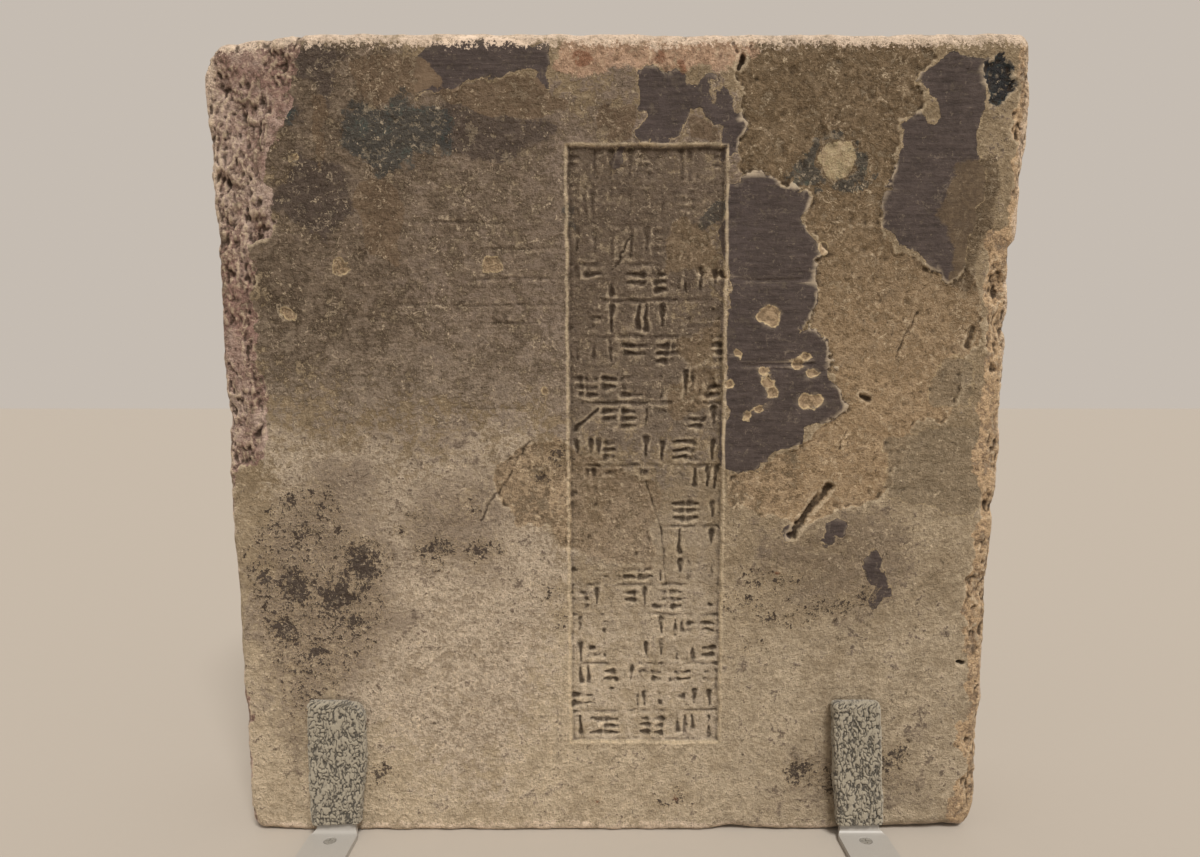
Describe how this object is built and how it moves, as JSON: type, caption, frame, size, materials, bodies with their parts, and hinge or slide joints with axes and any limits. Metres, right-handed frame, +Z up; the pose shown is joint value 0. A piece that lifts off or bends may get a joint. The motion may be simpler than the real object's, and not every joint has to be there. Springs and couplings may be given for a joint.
{
  "type": "stamped brick",
  "caption": "Square fired-clay brick with a stamped panel of worn strokes, standing upright behind two strap brackets in felt sleeves",
  "frame": {"origin": "middle of the brick's underside, on the plane the brick and the bracket feet stand on", "axes": "+Z up, -Y out of the stamped face towards the viewer, +X to the viewer's right"},
  "size_m": [0.3297, 0.115, 0.334],
  "materials": {
    "fired_clay": "rough, worn, stained",
    "strap_paint": "satin",
    "sleeve_felt": "nubby felt",
    "screw_steel": "dull"
  },
  "bodies": {
    "root": {"brick": "fired_clay", "bracket_left": "strap_paint", "bracket_right": "strap_paint", "sleeve_left": "sleeve_felt", "sleeve_right": "sleeve_felt", "screw_left_rear": "screw_steel", "screw_left_front": "screw_steel", "screw_right_rear": "screw_steel", "screw_right_front": "screw_steel"}
  },
  "joints": []
}
